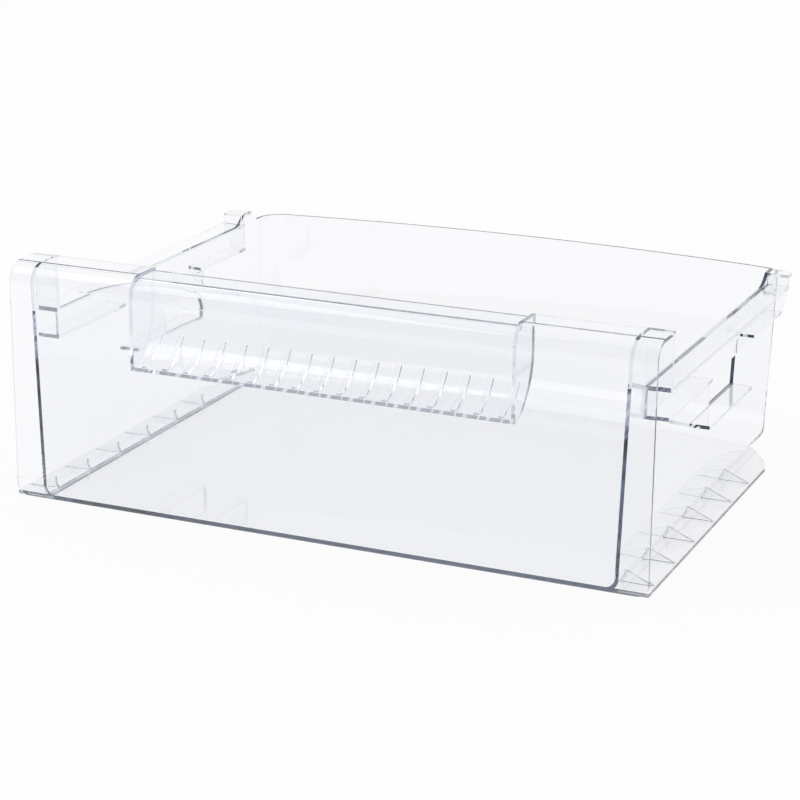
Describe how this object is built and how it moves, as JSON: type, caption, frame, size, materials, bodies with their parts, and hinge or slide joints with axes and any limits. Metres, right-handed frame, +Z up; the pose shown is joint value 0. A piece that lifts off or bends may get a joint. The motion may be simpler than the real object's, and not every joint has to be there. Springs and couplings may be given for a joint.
{
  "type": "clear refrigerator drawer",
  "caption": "Clear moulded refrigerator or freezer drawer with a bowed back, a grip pocket in its front panel, and runner rails and stops along its sides.",
  "frame": {"origin": "on the floor, in the middle of the outside width and depth", "axes": "+X across the drawer to the right as seen from the front, +Y from the front panel to the back wall, +Z up"},
  "size_m": [0.46, 0.372, 0.165],
  "materials": {
    "clear_plastic": "clear, polished"
  },
  "bodies": {
    "root": {"drawer": "clear_plastic"}
  },
  "joints": []
}
